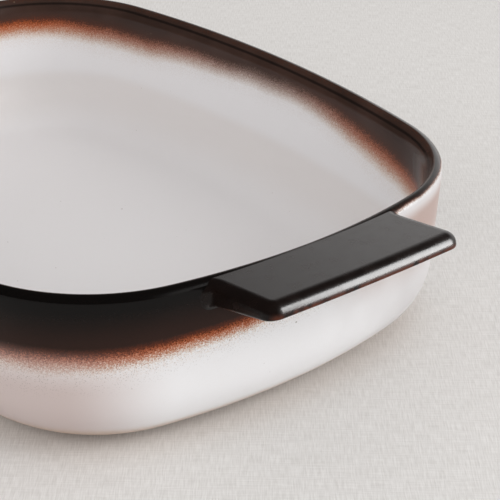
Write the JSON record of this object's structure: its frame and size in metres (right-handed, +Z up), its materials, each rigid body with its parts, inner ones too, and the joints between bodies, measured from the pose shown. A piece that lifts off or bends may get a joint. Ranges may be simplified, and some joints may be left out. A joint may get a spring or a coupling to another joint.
{
  "type": "lasagna dish",
  "caption": "Deep rectangular stoneware baking dish with bowed sides, large corners, a rounded rim and a flat lug handle at each end that rises a little from the rim.",
  "frame": {"origin": "middle of the footprint, on the surface that the dish stands on", "axes": "+X along the dish through both handles, +Y across it, +Z up out of its open mouth"},
  "size_m": [0.3854, 0.2416, 0.0761],
  "materials": {
    "body_glaze": "gloss white glaze that turns rust and then near-black towards the rim",
    "handle_glaze": "satin near-black glaze",
    "bare_clay": "unglazed fired clay, matte"
  },
  "bodies": {
    "root": {"dish_body": "body_glaze", "right_handle": "handle_glaze", "left_handle": "handle_glaze", "foot_ring": "bare_clay"}
  },
  "joints": []
}
